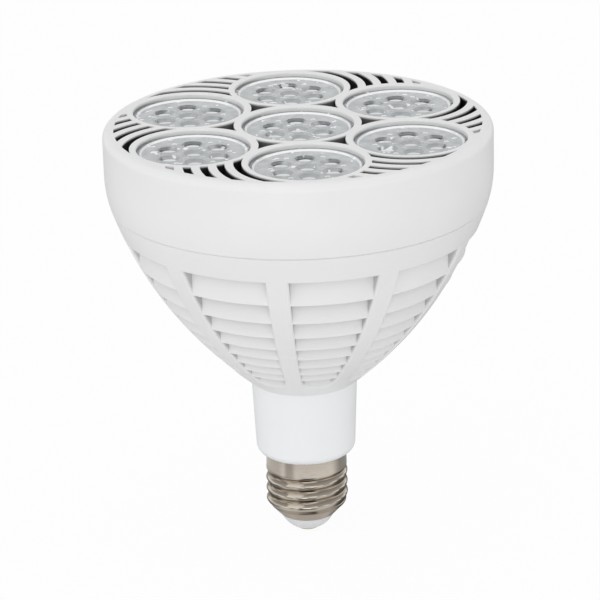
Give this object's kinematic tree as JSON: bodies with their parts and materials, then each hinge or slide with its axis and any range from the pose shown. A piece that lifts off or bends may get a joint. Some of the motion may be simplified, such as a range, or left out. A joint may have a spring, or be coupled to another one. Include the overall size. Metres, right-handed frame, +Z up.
{
  "type": "par spotlight bulb",
  "caption": "Reflector-shaped LED spotlight bulb with a screw cap, a louvred white bowl, swirl-vented face, clear lenslet optics and an internal cooling fan.",
  "frame": {"origin": "tip of the end contact, on the lamp's axis", "axes": "+Z up the lamp's axis from the cap to the light face; the picture is taken from the -Y side"},
  "size_m": [0.121, 0.121, 0.1367],
  "materials": {
    "white_shell": "satin moulded",
    "white_neck": "satin moulded",
    "cap_white": "smooth moulded",
    "clear_optic": "clear moulded",
    "nickel": "bright plated",
    "contact_brass": "plain",
    "sink_alloy": "dark anodised",
    "board_white": "solder mask on an aluminium core",
    "phosphor": "phosphor",
    "pad_grey": "matt",
    "screw_steel": "zinc plated",
    "fan_black": "moulded",
    "bearing_bronze": "sintered",
    "shaft_steel": "ground",
    "ferrite": "matt magnet",
    "stator_steel": "laminated",
    "copper": "enamelled wire",
    "laminate": "solder mask",
    "capacitor_sleeve": "sleeve",
    "core_ferrite": "matt ferrite",
    "winding_tape": "tape",
    "package_black": "moulded",
    "fuse_enamel": "enamel",
    "wire_black": "insulation",
    "wire_white": "insulation",
    "wire_red": "insulation"
  },
  "bodies": {
    "lamp": {"front_bezel": "white_shell", "housing": "white_shell", "driver_case": "white_neck", "driver_cover": "white_neck", "cap_insulator": "cap_white", "lens_1": "clear_optic", "lens_2": "clear_optic", "lens_3": "clear_optic", "lens_4": "clear_optic", "lens_5": "clear_optic", "lens_6": "clear_optic", "lens_7": "clear_optic", "screw_shell": "nickel", "end_contact": "contact_brass", "heat_sink": "sink_alloy", "led_board": "board_white", "led_chips": "phosphor", "thermal_pad": "pad_grey", "board_screws": "screw_steel", "sink_screws": "screw_steel", "fan_screws": "screw_steel", "fan_frame": "fan_black", "fan_bearing": "bearing_bronze", "fan_stator": "stator_steel", "fan_coils": "copper", "fan_board": "laminate", "driver_board": "laminate", "bulk_capacitor": "capacitor_sleeve", "output_capacitor": "capacitor_sleeve", "transformer_core": "core_ferrite", "line_choke": "core_ferrite", "transformer_winding": "winding_tape", "bridge_rectifier": "package_black", "controller_chip": "package_black", "fuse_resistor": "fuse_enamel", "live_wire": "wire_black", "fan_leads": "wire_black", "neutral_wire": "wire_white", "led_leads": "wire_red"},
    "impeller": {"fan_impeller": "fan_black", "fan_shaft": "shaft_steel", "fan_magnet": "ferrite"}
  },
  "joints": [
    {"name": "fan_spin", "type": "hinge", "parent": "lamp", "child": "impeller", "pos_m": [0, 0, 0.0934], "axis": [0, 0, 1], "continuous": true}
  ]
}
